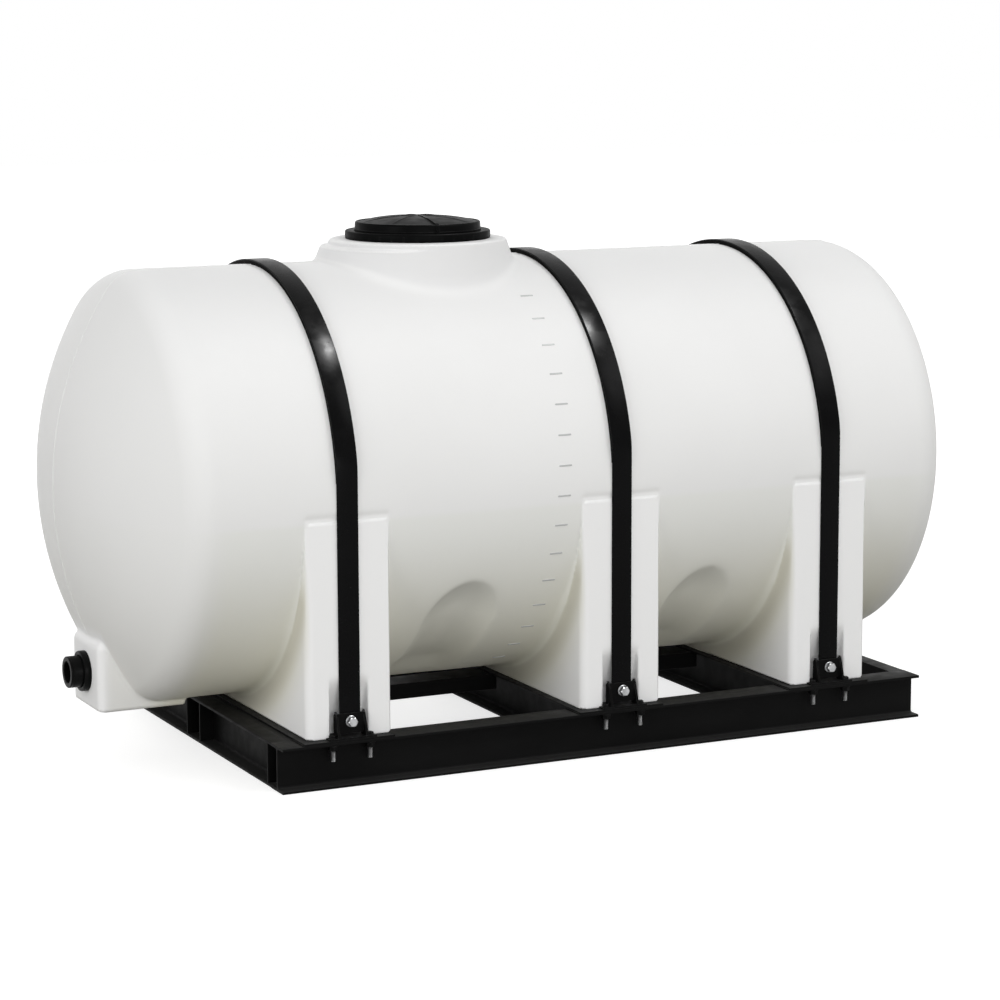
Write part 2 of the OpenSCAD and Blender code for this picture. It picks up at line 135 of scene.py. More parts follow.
def body_field(x, rho):
    """Barrel and both heads; rho is the distance from the axis."""
    u = np.abs(x) - BARREL_X
    d = np.where(u > 0, np.hypot(u, rho - CROWN_Q) - SHOULDER_R, rho - TANK_R)
    crown = rho * CROWN_A < CROWN_Q * (u + CROWN_A)
    return np.where(crown, np.hypot(u + CROWN_A, rho) - CROWN_R, d)


def grooves_field(d, x, y, z):
    """Scalloped hollows in the belly, with a round top."""
    angle = np.arctan2(np.abs(y), AXIS_Z - z)
    depth = GROOVE_D * ramp(angle, *GROOVE_FADE)
    crisp = 7.0                                  # how soft the groove's rim is
    for gx, hw, top in GROOVES:
        start = TANK_R * math.radians(top) - GROOVE_ROUND
        along = x - gx - GROOVE_LEAN * (z - GROOVE_MID_Z)
        above = np.maximum(TANK_R * angle - start, 0) * hw / GROOVE_ROUND
        s = np.hypot(along, above) - hw
        t = np.minimum((np.sqrt(s * s + crisp * crisp) - s) / (2 * GROOVE_WALL), 1)
        d = d + depth * t * (2 - t)
    return d


def collar_field(x, y, z):
    """Manway collar: it leans out more along the tank than across it."""
    down = COLLAR_TOP - z
    cx = MAN_X - COLLAR_SHIFT * down
    r = np.hypot(x - cx, y)
    along = (x - cx) / np.maximum(r, 1)
    slope = COLLAR_LEAN + COLLAR_FLARE * along ** 2
    steep = 0.95                                 # makes a leaning wall's field a distance
    rim = smax((r - COLLAR_R - slope * down) * steep, -down, 9)
    step_r = STEP_R + STEP_OUT * ramp(-along, 0.0, 1.0)
    step = smax((r - step_r - slope * down) * steep, STEP_DROP - down, 8)
    return smax(smin(rim, step, 8), AXIS_Z + 230 - z, 4)


def leg_field(d, x, y, z, cx):
    """Adds a saddle leg to field d, with its pocket and the dip above its top."""
    ay, ax = np.abs(y), np.abs(x - cx)
    r = LEG_CRISP_R + (LEG_EDGE_R - LEG_CRISP_R) * ramp(LEG_TOP - z, 10, 260) * (x < cx)
    plan = corner(ax - LEG_HW, ay - LEG_Y, r)
    soft = 10 + 20 * np.clip((LEG_TOP - z) / 400, 0, 1)
    leg = smin(d, plan, 2 + soft * np.clip((590 - ay) / 80, 0, 1))
    leg = smax(smax(leg, ay - LEG_Y, 3), LEG_FOOT - z, 3)
    leg = smax(leg, z - LEG_TOP, 2)
    dip = LEG_DIP * np.exp(-((z - LEG_TOP - 11) / 9) ** 2)
    d = d + dip * ramp(LEG_HW + 6 - ax, 0, 14) * (ay > 400)
    depth = np.clip((POCKET_TOP - z) * POCKET_D / POCKET_FADE, -12, POCKET_D)
    pocket = smax(ax - POCKET_HW, LEG_Y - depth - ay, 6)
    return np.minimum(d, smax(leg, -pocket, 6))


def sump_field(x, y, z):
    """Sump: round upright edges on its face, crisper ones below and at its hidden end."""
    plan = corner(SUMP_LO[0] - x, np.abs(y) - SUMP_HI[1], SUMP_EDGE_R)
    sump = smax(smax(plan, z - SUMP_HI[2], 26), SUMP_LO[2] - z, 12)
    return smax(sump, x - SUMP_END, 6)


def tank_field(x, y, z):
    d = body_field(x, np.hypot(y, z - AXIS_Z))
    d = grooves_field(d, x, y, z)
    for cx in LEG_X:
        d = leg_field(d, x, y, z, cx)
    d = smin(d, sump_field(x, y, z), 10)
    return smin(d, collar_field(x, y, z), 16 + 16 * ramp(np.abs(y), 60, 230))


def tank_gradient(p, step=0.4):
    """Slope of the tank's field at points p, by central differences."""
    g = np.empty_like(p)
    for i in range(3):
        a, b = p.copy(), p.copy()
        a[:, i] -= step
        b[:, i] += step
        g[:, i] = (tank_field(*b.T) - tank_field(*a.T)) / (2 * step)
    return g


def skin_mesh(x0, x1, voxel):
    """Quads of the tank's outside between two x planes, put exactly on the surface."""
    lo = np.array([x0 - 2.5 * voxel, -LEG_Y - 30, LEG_FOOT - 30])
    hi = np.array([x1 + 2.5 * voxel, LEG_Y + 30, COLLAR_TOP + 30])
    n = np.ceil((hi - lo) / voxel).astype(int) + 1
    axes = [lo[i] + voxel * np.arange(n[i]) for i in range(3)]
    cells = tank_field(*np.meshgrid(*axes, indexing="ij", sparse=True)).astype(np.float32)
    grid = vdb.FloatGrid(float(4 * voxel))
    grid.copyFromArray(np.clip(cells / voxel, -4, 4))
    points, triangles, quads = grid.convertToPolygons(0.0, 0.0)
    points = lo + voxel * np.asarray(points, float)
    faces = [np.asarray(f)[:, ::-1] for f in (triangles, quads) if len(f)]
    kept = []
    for f in faces:
        mid = points[f][:, :, 0].mean(1)
        kept.append(f[(mid > x0 - 1.3 * voxel) & (mid < x1 + 1.3 * voxel)])
    used = np.unique(np.concatenate([f.ravel() for f in kept]))
    new = np.full(len(points), -1)
    new[used] = np.arange(len(used))
    points = points[used]
    for _ in range(4):
        g = tank_gradient(points)
        move = -(tank_field(*points.T) / np.maximum((g * g).sum(1), 0.2))[:, None] * g
        points += np.clip(move, -0.7 * voxel, 0.7 * voxel)
    return points, [new[f] for f in kept]


def skin_piece(name, x0, x1, material, voxel=8.0):
    """A length of the tank's skin, closed with flat caps where it is cut."""
    points, groups = skin_mesh(x0, x1, voxel)
    mesh = bpy.data.meshes.new(name)
    mesh.from_pydata(points, [], [tuple(f) for g in groups for f in g.tolist()])
    bm = bmesh.new()
    bm.from_mesh(mesh)
    for x, way in ((x0, -1), (x1, 1)):
        if abs(x) > BARREL_X:
            continue
        cut = bmesh.ops.bisect_plane(bm, geom=bm.verts[:] + bm.edges[:] + bm.faces[:], dist=1e-3,
                                     plane_co=(x, 0, 0), plane_no=(way, 0, 0), clear_outer=True)
        rim = [e for e in cut["geom_cut"] if isinstance(e, bmesh.types.BMEdge)]
        bmesh.ops.edgeloop_fill(bm, edges=rim)
    bmesh.ops.recalc_face_normals(bm, faces=bm.faces[:])
    bm.to_mesh(mesh)
    bm.free()
    co = np.empty(len(mesh.vertices) * 3)
    mesh.vertices.foreach_get("co", co)
    co = co.reshape(-1, 3)
    g = tank_gradient(co)
    g /= np.maximum(np.linalg.norm(g, axis=1), 1e-9)[:, None]
    loop_vertex = np.empty(len(mesh.loops), np.int32)
    mesh.loops.foreach_get("vertex_index", loop_vertex)
    normals = g[loop_vertex]
    for poly in mesh.polygons:
        if poly.loop_total > 8:                  # a cap, hidden under a band
            normals[poly.loop_start:poly.loop_start + poly.loop_total] = poly.normal
    mesh.vertices.foreach_set("co", (co * MM).ravel())
    mesh.polygons.foreach_set("use_smooth", [True] * len(mesh.polygons))
    mesh.normals_split_custom_set(normals.tolist())
    mesh.materials.append(material)
    piece = bpy.data.objects.new(name, mesh)
    bpy.context.scene.collection.objects.link(piece)
    return piece


# ---------------------------------------------------------------- small meshes
class Shape:
    """Closed solids in mm, gathered into one mesh."""

    def __init__(self):
        self.verts, self.faces = [], []

    def add(self, verts, faces):
        base = len(self.verts)
        self.verts += [tuple(map(float, v)) for v in verts]
        self.faces += [tuple(base + i for i in f) for f in faces]

    def prism(self, outline, axis, a, b):
        """A flat outline pushed along an axis; (u, v) are the two other axes in order."""
        n = len(outline)
        at = "xyz".index(axis)
        verts = [(*p[:at], w, *p[at:]) for w in (a, b) for p in outline]
        faces = [(i, (i + 1) % n, n + (i + 1) % n, n + i) for i in range(n)]
        self.add(verts, faces + [tuple(range(n))[::-1], tuple(range(n, 2 * n))])

    def box(self, lo, hi):
        (x0, y0, z0), (x1, y1, z1) = lo, hi
        self.prism([(y0, z0), (y1, z0), (y1, z1), (y0, z1)], "x", x0, x1)

    def disc(self, centre, r, axis, a, b, sides):
        self.prism(arc(*centre, r, 0, 360, sides)[:-1], axis, a, b)

    def lathe(self, profile, place, sides):
        """A closed loop of (radius, height), turned round the axis that place() knows."""
        n = len(profile)
        verts = [place(r, 2 * math.pi * j / sides, h) for j in range(sides) for r, h in profile]
        faces = []
        for j in range(sides):
            here, there = j * n, ((j + 1) % sides) * n
            faces += [(here + i, here + (i + 1) % n, there + (i + 1) % n, there + i)
                      for i in range(n)]
        self.add(verts, faces)

    def sweep(self, sections):
        """A closed tube through a list of equal rings of points, with both ends capped."""
        n, m = len(sections[0]), len(sections)
        faces = [(j * n + i, j * n + (i + 1) % n, (j + 1) * n + (i + 1) % n, (j + 1) * n + i)
                 for j in range(m - 1) for i in range(n)]
        faces += [tuple(range(n))[::-1], tuple((m - 1) * n + i for i in range(n))]
        self.add([p for s in sections for p in s], faces)

    def piece(self, name, material, slot, *nodes, bevel=0.0, segments=2, smooth_angle=35):
        """Makes the Blender object, which replaces the CAD nodes named."""
        bm = bmesh.new()
        vs = [bm.verts.new(v) for v in self.verts]
        for f in self.faces:
            bm.faces.new([vs[i] for i in f])
        bmesh.ops.recalc_face_normals(bm, faces=bm.faces[:])
        mesh = bpy.data.meshes.new(name)
        bmesh.ops.scale(bm, vec=(MM, MM, MM), verts=bm.verts[:])
        bm.to_mesh(mesh)
        bm.free()
        mesh.polygons.foreach_set("use_smooth", [True] * len(mesh.polygons))
        mesh.set_sharp_from_angle(angle=math.radians(smooth_angle))
        mesh.materials.append(material)
        obj = bpy.data.objects.new(name, mesh)
        bpy.context.scene.collection.objects.link(obj)
        if bevel:
            mod = obj.modifiers.new("edges", "BEVEL")
            mod.width, mod.segments = bevel * MM, segments
            mod.limit_method, mod.angle_limit = "ANGLE", math.radians(40)
            mod.harden_normals = True
        place_piece(obj, slot, *nodes)


def place_piece(obj, slot, *nodes):
    """Rides a piece on the one body, in place of the CAD nodes named."""
    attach(obj, "root")
    if nodes:
        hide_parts(*nodes)


def round_off(cx, cy, angle, r):
    """One point of an arc, at an angle in degrees."""
    return cx + r * math.cos(math.radians(angle)), cy + r * math.sin(math.radians(angle))


def about_z(cx, cy):
    return lambda r, t, h: (cx + r * math.cos(t), cy + r * math.sin(t), h)


def about_x(cy, cz):
    return lambda r, t, h: (h, cy + r * math.cos(t), cz + r * math.sin(t))


def about_y(cx, cz):
    return lambda r, t, h: (cx + r * math.cos(t), h, cz + r * math.sin(t))


def arc(cx, cy, r, a0, a1, n):
    """Points on a circle from a0 to a1 degrees."""
    return [round_off(cx, cy, a0 + (a1 - a0) * i / n, r) for i in range(n + 1)]


# ---------------------------------------------------------------- materials
class Nodes:
    """Short names for building a node tree."""

    def __init__(self, name):
        self.material = bpy.data.materials.new(name)
        self.material.use_nodes = True
        self.tree = self.material.node_tree
        self.shader = self.tree.nodes["Principled BSDF"]
        self.place = self.new("ShaderNodeTexCoord").outputs["Object"]
        self.geometry = self.new("ShaderNodeNewGeometry")

    def new(self, kind, **values):
        node = self.tree.nodes.new(kind)
        for key, value in values.items():
            setattr(node, key, value)
        return node

    def link(self, a, b):
        self.tree.links.new(a, b)

    def feed(self, socket, value):
        if isinstance(value, bpy.types.NodeSocket):
            self.link(value, socket)
        else:
            socket.default_value = value

    def noise(self, scale, detail, stretch=None):
        node = self.new("ShaderNodeTexNoise")
        node.inputs["Scale"].default_value = scale
        node.inputs["Detail"].default_value = detail
        node.inputs["Roughness"].default_value = 0.5
        if stretch:
            mapping = self.new("ShaderNodeMapping")
            mapping.inputs["Scale"].default_value = stretch
            self.link(self.place, mapping.inputs["Vector"])
            self.link(mapping.outputs["Vector"], node.inputs["Vector"])
        else:
            self.link(self.place, node.inputs["Vector"])
        return node.outputs["Fac"]

    def rescale(self, value, a, b, c=0.0, d=1.0):
        """c where the value is a, d where it is b, and smooth between them."""
        node = self.new("ShaderNodeMapRange", interpolation_type="SMOOTHSTEP")
        keys = ("Value", "From Min", "From Max", "To Min", "To Max")
        for key, v in zip(keys, (value, a, b, c, d)):
            self.feed(node.inputs[key], v)
        return node.outputs["Result"]

    def math(self, what, a, b=0.0):
        node = self.new("ShaderNodeMath", operation=what)
        self.feed(node.inputs[0], a)
        self.feed(node.inputs[1], b)
        return node.outputs[0]

    def times(self, *values):
        """Product of two or more values."""
        product = values[0]
        for value in values[1:]:
            product = self.math("MULTIPLY", product, value)
        return product

    def distance(self, a, b):
        return self.math("SQRT", self.math("ADD", self.times(a, a), self.times(b, b)))

    def size(self, value):
        return self.math("ABSOLUTE", value)

    def mix(self, factor, a, b):
        """Colour a where the factor is 0, b where it is 1."""
        node = self.new("ShaderNodeMix", data_type="RGBA")
        self.feed(node.inputs["Factor"], factor)
        for socket, value in zip(node.inputs[6:8], (a, b)):      # the two colour sockets
            self.feed(socket, value if isinstance(value, bpy.types.NodeSocket) else (*value, 1.0))
        return node.outputs[2]

    def facing(self, name):
        """How far the surface faces along an axis, -1 to 1."""
        return self.axis(self.geometry.outputs["Normal"], name)

    def axis(self, vector, name):
        node = self.new("ShaderNodeSeparateXYZ")
        self.link(vector, node.inputs[0])
        return node.outputs[name]

    def edges(self, radius):
        """1 on outer edges narrower than the radius, 0 on flats."""
        bevel = self.new("ShaderNodeBevel", samples=4)
        bevel.inputs["Radius"].default_value = radius
        dot = self.new("ShaderNodeVectorMath", operation="DOT_PRODUCT")
        self.link(bevel.outputs["Normal"], dot.inputs[0])
        self.link(self.geometry.outputs["Normal"], dot.inputs[1])
        return self.rescale(dot.outputs["Value"], 0.99, 0.85)

    def bump(self, height, strength, distance):
        node = self.new("ShaderNodeBump")
        node.inputs["Strength"].default_value = strength
        node.inputs["Distance"].default_value = distance
        self.link(height, node.inputs["Height"])
        self.link(node.outputs["Normal"], self.shader.inputs["Normal"])

    def finish(self, colour, roughness, specular, metallic=0.0):
        self.feed(self.shader.inputs["Base Color"], colour)
        self.feed(self.shader.inputs["Roughness"], roughness)
        self.shader.inputs["Specular IOR Level"].default_value = specular
        self.shader.inputs["Metallic"].default_value = metallic
        return self.material


def tank_plastic():
    """Rotomoulded natural white, with painted shade: the wall reads greyer than the legs below the
    leg tops.

    Positions in the masks are in metres.
    """
    n = Nodes("tank_plastic")
    x, y, z = (n.axis(n.place, name) for name in "XYZ")
    from_axis = n.distance(y, n.math("SUBTRACT", z, AXIS_Z * MM))
    low = n.rescale(z, (LEG_TOP + 8) * MM, (LEG_TOP - 14) * MM)
    on_leg = 0.0
    for cx in LEG_X:
        off = n.size(n.math("SUBTRACT", x, cx * MM))
        on_leg = n.math("ADD", on_leg, n.rescale(off, (LEG_HW + 4) * MM, (LEG_HW - 3) * MM))
    front = n.times(on_leg, n.rescale(n.size(y), 0.600, 0.609))

    # painted shade: below the leg tops the barrel's wall is painted greyer than the legs, and
    # greyer and warmer low down
    near_wall = n.rescale(from_axis, 0.79, 0.615)
    ends = n.rescale(n.size(x), 1.17, 1.05, 0.16, 1.0)
    wall = n.times(low, n.math("SUBTRACT", 1.0, front), near_wall, ends)
    painted_shade_tint = n.mix(n.rescale(z, LEG_TOP * MM, 0.16), (0.865, 0.87, 0.845), (0.83, 0.815, 0.70))
    cloud = n.rescale(n.noise(2.2, 2.0), 0.35, 0.65)
    unshaded = n.mix(cloud, (0.875, 0.875, 0.87), (0.89, 0.89, 0.885))
    # painted light: the legs' fronts, and their parts far from the axis, are painted whiter than
    # the barrel
    leg_light = n.math("MAXIMUM", n.times(front, low), n.rescale(from_axis, 0.64, 0.73))
    unshaded = n.mix(leg_light, unshaded, (0.955, 0.955, 0.955))
    colour = n.mix(wall, unshaded, painted_shade_tint)
    # painted light: the sump's low end is painted as white as the legs
    sump = n.times(n.rescale(x, -1.24, -1.275), n.rescale(n.size(y), 0.135, 0.12),
                   n.rescale(z, 0.40, 0.36))
    colour = n.mix(sump, colour, (0.95, 0.95, 0.95))

    # painted shade: a warm darkening where a leg's side meets the barrel
    side = n.times(n.rescale(n.size(n.facing("X")), 0.75, 0.97, 0.0, 0.85),
                   n.rescale(z, 0.60, 0.50), n.rescale(from_axis, 0.71, 0.64),
                   n.rescale(n.size(x), 1.10, 1.00))
    colour = n.mix(side, colour, (0.66, 0.64, 0.55))

    # painted shade: the collar's walls are painted a little greyer than its top
    from_neck = n.distance(n.math("SUBTRACT", x, MAN_X * MM), y)
    neck_shade = n.times(n.rescale(from_neck, 0.335, 0.30), n.rescale(z, 1.27, 1.31),
                   n.rescale(n.facing("Z"), 0.75, 0.45))
    colour = n.mix(neck_shade, colour, (0.805, 0.805, 0.805))

    specks = n.rescale(n.noise(55.0, 4.0), 0.62, 0.78, 0.0, 0.05)
    colour = n.mix(specks, colour, (0.70, 0.70, 0.68))
    scuff = n.times(n.edges(0.006), n.rescale(n.noise(24.0, 5.0), 0.5, 0.75, 0.0, 0.22))
    colour = n.mix(scuff, colour, (0.72, 0.72, 0.70))
    grain = n.math("ADD", n.noise(420.0, 2.0), n.times(n.noise(14.0, 2.0), 2.0))
    n.bump(grain, 0.10, 0.0012)
    return n.finish(colour, n.rescale(n.noise(30.0, 4.0), 0.3, 0.7, 0.50, 0.62), 0.06)


def dark(name, base, worn, rough, specular, dust_and_top_light=0.0, grain=180.0, bump=0.12, edge=0.0025,
         streak=None):
    """Black coated steel or plastic: cloudy colour, worn edges, and a film of dust on top that
    also paints the top faces lighter, as light from above would.
    """
    n = Nodes(name)
    cloud = n.rescale(n.noise(9.0, 4.0, stretch=streak), 0.3, 0.7)
    colour = n.mix(cloud, base, tuple(1.6 * c for c in base))
    if dust_and_top_light:
        # dust on faces that look up, and a painted highlight: it lightens the tops as if lit from
        # above
        up = n.rescale(n.facing("Z"), 0.45, 1.0)
        dust_and_light_film = n.times(up, n.rescale(n.noise(5.0, 5.0), 0.2, 0.8, 0.75 * dust_and_top_light, dust_and_top_light))
        colour = n.mix(dust_and_light_film, colour, (0.22, 0.22, 0.215))
    rub = n.times(n.edges(edge), n.rescale(n.noise(60.0, 5.0), 0.35, 0.7, 0.15, 0.75))
    colour = n.mix(rub, colour, worn)
    n.bump(n.noise(grain, 4.0), bump, 0.0008)
    gloss = n.rescale(n.noise(22.0, 4.0), 0.3, 0.7, rough - 0.05, rough + 0.07)
    return n.finish(colour, gloss, specular)


def zinc(name, low, high):
    """Bare or plated steel, cloudy between two greys, with dull stains."""
    n = Nodes(name)
    cloud = n.rescale(n.noise(90.0, 4.0), 0.3, 0.7)
    colour = n.mix(cloud, low, high)
    stain = n.rescale(n.noise(210.0, 5.0), 0.62, 0.8, 0.0, 0.5)
    colour = n.mix(stain, colour, (0.34, 0.33, 0.31))
    n.bump(n.noise(500.0, 3.0), 0.15, 0.0004)
    return n.finish(colour, n.rescale(n.noise(150.0, 3.0), 0.3, 0.7, 0.28, 0.42), 0.5, 1.0)


def marks_grey():
    n = Nodes("mark_grey")
    colour = n.mix(n.noise(70.0, 3.0), (0.47, 0.475, 0.475), (0.55, 0.555, 0.555))
    colour = n.mix(n.times(n.edges(0.0015), 0.5), colour, (0.72, 0.72, 0.72))
    n.bump(n.noise(420.0, 2.0), 0.10, 0.0006)
    return n.finish(colour, n.rescale(n.noise(60.0, 3.0), 0.3, 0.7, 0.42, 0.55), 0.3)


TANK = tank_plastic()
MARK = marks_grey()
ZINC = zinc("zinc_fasteners", (0.30, 0.305, 0.31), (0.42, 0.425, 0.43))
STUD = zinc("stud_steel", (0.15, 0.15, 0.15), (0.24, 0.24, 0.24))
LID = dark("lid_plastic", (0.0020, 0.0021, 0.0021), (0.03, 0.03, 0.03), 0.40, 0.025,
           dust_and_top_light=0.015, grain=260.0, edge=0.002)
FITTING = dark("fitting_plastic", (0.0025, 0.0026, 0.0026), (0.03, 0.03, 0.03), 0.36, 0.05,
               dust_and_top_light=0.02, edge=0.002)
BAND = dark("band_steel", (0.0010, 0.0010, 0.0011), (0.015, 0.015, 0.015), 0.26, 0.05,
            grain=320.0, bump=0.05, edge=0.0015)
RUBBER = dark("pad_rubber", (0.0018, 0.0018, 0.0018), (0.01, 0.01, 0.01), 0.60, 0.03,
              grain=400.0, edge=0.001)
BRACKET = dark("bracket_steel", (0.0022, 0.0022, 0.0022), (0.05, 0.05, 0.05), 0.40, 0.035,
               dust_and_top_light=0.03)
SKID = dark("skid_steel", (0.0042, 0.0042, 0.0042), (0.02, 0.02, 0.02), 0.48, 0.035,
            dust_and_top_light=0.09, streak=(0.25, 1, 1))


# ---------------------------------------------------------------- tank
def skins():
    cuts = [-BARREL_X - HEAD_L - 20, *LEG_X, BARREL_X + HEAD_L + 20]
    shown = [("head_left", "drain_sump"), ("manway_collar", "saddle_leg_1"),
             ("tank_barrel", "saddle_leg_2"), ("head_right", "saddle_leg_3")]
    names = ["skin_left_end", "skin_bay_1", "skin_bay_2", "skin_right_end"]
    for name, x0, x1, nodes in zip(names, cuts, cuts[1:], shown):
        place_piece(skin_piece(name, x0, x1, TANK), "tank_plastic", *nodes)


def head_outline():
    """The head's profile from its pole to the barrel, as (x, r, outward x, outward r)."""
    rows = []
    meet = math.atan2(CROWN_Q, CROWN_A)          # where the crown passes into the shoulder
    for i in range(49):
        c, s = math.cos(meet * i / 48), math.sin(meet * i / 48)
        rows.append((-CROWN_A + CROWN_R * c, CROWN_R * s, c, s))
    for i in range(1, 17):
        t = meet + (math.pi / 2 - meet) * i / 16
        c, s = math.cos(t), math.sin(t)
        rows.append((SHOULDER_R * c, CROWN_Q + SHOULDER_R * s, c, s))
    return rows


def parting_line():
    """The mould's parting line: a low bead on the middle plane, over both ends and the crown."""
    half, sunk = 3.0, -1.5
    section = [(-half, sunk), (-half, 0.1), (-half * 0.6, SEAM_H * 0.8), (0, SEAM_H),
               (half * 0.6, SEAM_H * 0.8), (half, 0.1), (half, sunk)]
    rows = head_outline()
    shape = Shape()
    for way in (-1, 1):
        path = [(x, -r, nx, -nr) for x, r, nx, nr in rows[:0:-1]] + rows
        if way < 0:                              # the sump covers the low part of the left end
            path = [p for p in path if p[1] + AXIS_Z > SUMP_HI[2] + 6]
        shape.sweep([[(way * (BARREL_X + x + nx * h), w, AXIS_Z + r + nr * h) for w, h in section]
                     for x, r, nx, nr in path])
    gap = 285.0                                  # the line stops at the collar
    for x0, x1 in ((-BARREL_X, MAN_X - gap), (MAN_X + gap, BARREL_X)):
        shape.sweep([[(x, w, AXIS_Z + TANK_R + h) for w, h in section]
                     for x in np.linspace(x0, x1, 12)])
    shape.piece("parting_line", TANK, "tank_plastic", smooth_angle=60)


def level_marks():
    """Raised dashes up the front, on a line that leans and curves a little."""
    count, step, drop, bow = 15, 8.5, 1.7, 1.3   # degrees round the barrel
    lean, curve = 5.5, 15.0                      # mm along it
    length, half_w, gap = 40.0, 2.5, 36.0
    layers = [(-2.0, 0.0), (0.9, 0.0), (1.4, 0.5)]       # height over the skin, inset of the edge
    left = LEGS[1][0][0] - gap - length
    outline = (arc(-length / 2 + half_w, 0, half_w, 90, 270, 6)
               + arc(length / 2 - half_w, 0, half_w, -90, 90, 6))
    shape = Shape()
    for i in range(count):
        k = i - (count - 1) / 2
        u = k / ((count - 1) / 2)
        t = math.radians(k * step - drop - bow * math.sin(math.pi * u))
        mid = left + length / 2 + k * lean - u * u * curve
        c, s = math.cos(t), math.sin(t)
        sections = []
        for h, inset in layers:
            r = TANK_R + h
            ring = [(x - math.copysign(inset, x), w - math.copysign(inset, w)) for x, w in outline]
            sections.append([(mid + x, w * s - r * c, AXIS_Z + r * s + w * c) for x, w in ring])
        shape.sweep(sections)
    shape.piece("marks", MARK, "mark_grey", "level_marks")


# ---------------------------------------------------------------- manway
def manway_ring():
    r, z0, z1 = (RING_HI[0] - RING_LO[0]) / 2, RING_LO[2], RING_HI[2]
    inner, grips = 150.0, 36
    ring = [(inner, z0 + 1), (r - 3, z0), (r - 0.8, z0 + 0.8), (r, z0 + 3), (r, z1 - 4.5),
            (r - 0.7, z1 - 2.2), (r - 2.2, z1 - 0.7), (r - 4.5, z1), (r - 19, z1 - 1.5),
            (inner, z1 - 1.5)]
    shape = Shape()
    shape.lathe(ring, about_z(MAN_X, 0), 144)
    for i in range(grips):
        t = 2 * math.pi * (i + 0.5) / grips
        c, s = math.cos(t), math.sin(t)
        corners = ((r - 3, -3.2), (r, -2.2), (r, 2.2), (r - 3, 3.2))
        shape.prism([(MAN_X + a * c - b * s, a * s + b * c) for a, b in corners],
                    "z", z0 + 4, z1 - 8)
    shape.piece("lid_ring", LID, "lid_plastic", "manway_ring", smooth_angle=50)


def manway_lid():
    """Lid: a rim, a low dome with faint ribs, and one strong rib that runs over the rim."""
    side, top, foot = (LID_HI[0] - LID_LO[0]) / 2, LID_HI[2], LID_LO[2]
    crown = top - 20.0                           # height of the lid's rim
    strong = math.radians(-96)                   # direction of the strong rib
    sides, ribs, inner = 192, 8, side - 13
    rim = [(side + 0.6, foot - 2), (side + 0.6, foot + 3.5), (side - 0.6, foot + 4.5),
           (side - 1.6, crown - 5), (side - 2.4, crown - 1.2), (side - 4.6, crown + 1.2),
           (side - 9, crown + 1.4), (side - 11, crown - 0.8)]
    dome = [inner - inner * k / 15 for k in range(15)]

    def dome_height(r, t):
        f = r / inner
        turn = (t - strong) * ribs / (2 * math.pi)
        off = abs((turn + 0.5) % 1 - 0.5) * 2 * math.pi / ribs * r
        rib = max(0.0, 1 - off / 5.0)
        plain = crown - 0.6 + (top - 2.0 - crown) * (1 - f ** 2.2)
        ends = min(1.0, (1 - f) * 10) * min(1.0, r / 14)
        return plain + 1.6 * rib * rib * (3 - 2 * rib) * ends

    verts, faces = [], []
    n = len(rim) + len(dome)
    for j in range(sides):
        t, k = 2 * math.pi * j / sides, (j + 1) % sides
        for r, h in rim + [(r, dome_height(r, t)) for r in dome]:
            verts.append((MAN_X + r * math.cos(t), r * math.sin(t), h))
        faces += [(j * n + i, k * n + i, k * n + i + 1, j * n + i + 1) for i in range(n - 1)]
        faces += [(j * n + n - 1, k * n + n - 1, sides * n), (k * n, j * n, sides * n + 1)]
    verts += [(MAN_X, 0, top - 1.0), (MAN_X, 0, foot - 2)]
    shape = Shape()
    shape.add(verts, faces)
    c, s = math.cos(strong), math.sin(strong)
    rib = [(8, top - 4), (26, top - 0.3), (side * 0.6, crown + 14.5), (side - 16, crown + 6),
           (side - 4, crown + 3.6), (side + 2.6, crown - 1.5), (side + 4.6, foot + 1),
           (side - 20, foot + 1), (8, foot + 4)]
    half = 4.5
    shape.sweep([[(MAN_X + a * c - w * s, a * s + w * c, h) for a, h in rib]
                 for w in (-half, half)])
    shape.piece("lid", LID, "lid_plastic", "manway_lid", smooth_angle=32)


# ---------------------------------------------------------------- drain fitting
def drain():
    """Flange and nozzle on the sump, closed inside by a disc."""
    lo, hi = span("outlet_flange")
    face, foot = lo[0], hi[0]                    # the flange's outer and inner ends
    tip = span("outlet_nozzle")[0][0]
    cy, cz = (lo[1] + hi[1]) / 2, (lo[2] + hi[2]) / 2
    r = (hi[2] - lo[2]) / 2
    bore, pipe, tail = 31.0, 45.0, 42.0          # radii of the nozzle
    shape = Shape()
    flange = [(40, foot + 2), (r - 1, foot + 2), (r, foot), (r, face + 4),
              (r - 1.2, face + 1.2), (r - 4, face), (pipe + 4, face), (pipe + 1.5, face + 2),
              (pipe + 1.5, face + 6), (40, face + 6)]
    shape.lathe(flange, about_x(cy, cz), 72)
    shape.piece("drain_flange", FITTING, "fitting_plastic", "outlet_flange", smooth_angle=40)
    shape = Shape()
    nozzle = [(bore, foot + 30), (tail, foot + 30), (tail, face + 5), (pipe, face + 3),
              (pipe, tip + 10), (pipe - 0.8, tip + 9), (pipe - 0.8, tip + 7), (pipe, tip + 6),
              (pipe, tip + 2), (pipe - 1.5, tip), (bore + 2, tip), (bore, tip + 2)]
    shape.lathe(nozzle, about_x(cy, cz), 72)
    disc = [(0.01, foot + 12), (bore + 1, foot + 12), (bore + 1, foot + 18), (0.01, foot + 18)]
    shape.lathe(disc, about_x(cy, cz), 48)
    shape.piece("drain_nozzle", FITTING, "fitting_plastic", "outlet_nozzle", smooth_angle=40)


# ---------------------------------------------------------------- hold-down bands
PAD_T, BAND_T = 10.0, 4.0
PAD_END = 6                                  # degrees above the axis where a pad ends


